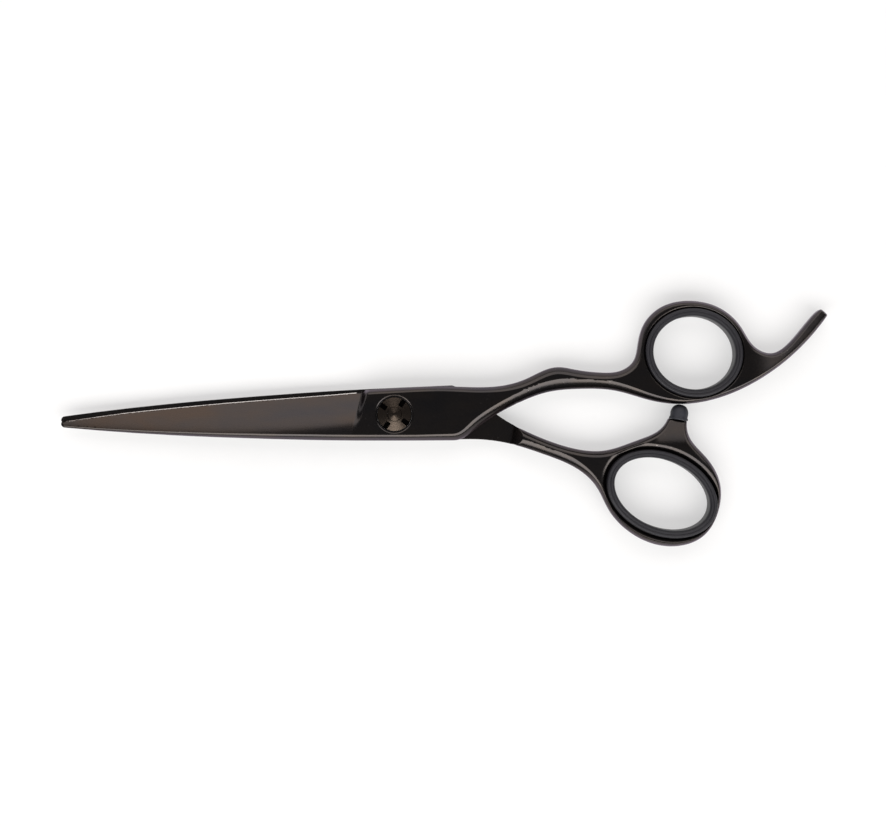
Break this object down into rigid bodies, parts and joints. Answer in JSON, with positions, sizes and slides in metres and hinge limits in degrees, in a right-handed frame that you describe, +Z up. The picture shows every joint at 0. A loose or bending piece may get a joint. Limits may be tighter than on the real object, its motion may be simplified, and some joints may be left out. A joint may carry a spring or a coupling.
{
  "type": "hair cutting shears",
  "caption": "Offset hair cutting shears: two hollow-ground blades on a slotted tension nut, finger ring with tang, oval thumb ring, ring inserts and rubber stop.",
  "frame": {"origin": "centre of the pivot stud's head face, on the plane the closed shears rest on", "axes": "+X along the blades from the points towards the handles, +Y towards the finger ring, +Z up the pivot axis towards the tension nut"},
  "size_m": [0.1847, 0.0589, 0.0072],
  "materials": {
    "coated_steel": "stainless steel with a glossy black vapour-deposited coating",
    "insert_rubber": "matt, moulded with fine concentric ribs",
    "bumper_rubber": "matt moulded",
    "turned_steel": "black coated, turned rings",
    "washer_steel": "bright spring steel",
    "bearing_plastic": "self-lubricating bearing plastic"
  },
  "bodies": {
    "finger_side": {"finger_half": "coated_steel", "finger_insert": "insert_rubber", "pivot_bush": "bearing_plastic", "glide_washer": "bearing_plastic"},
    "thumb_side": {"thumb_half": "coated_steel", "thumb_insert": "insert_rubber", "bumper": "bumper_rubber", "pivot_stud": "turned_steel", "thrust_washer": "washer_steel", "spring_washer": "washer_steel"},
    "nut": {"tension_nut": "turned_steel"}
  },
  "joints": [
    {"name": "blade_pivot", "type": "hinge", "parent": "finger_side", "child": "thumb_side", "pos_m": [0, 0, 0], "axis": [0, 0, -1], "range_deg": [0, 145]},
    {"name": "tension_turn", "type": "hinge", "parent": "thumb_side", "child": "nut", "pos_m": [0, 0, 0], "axis": [0, 0, 1], "range_deg": [-90, 90]}
  ]
}
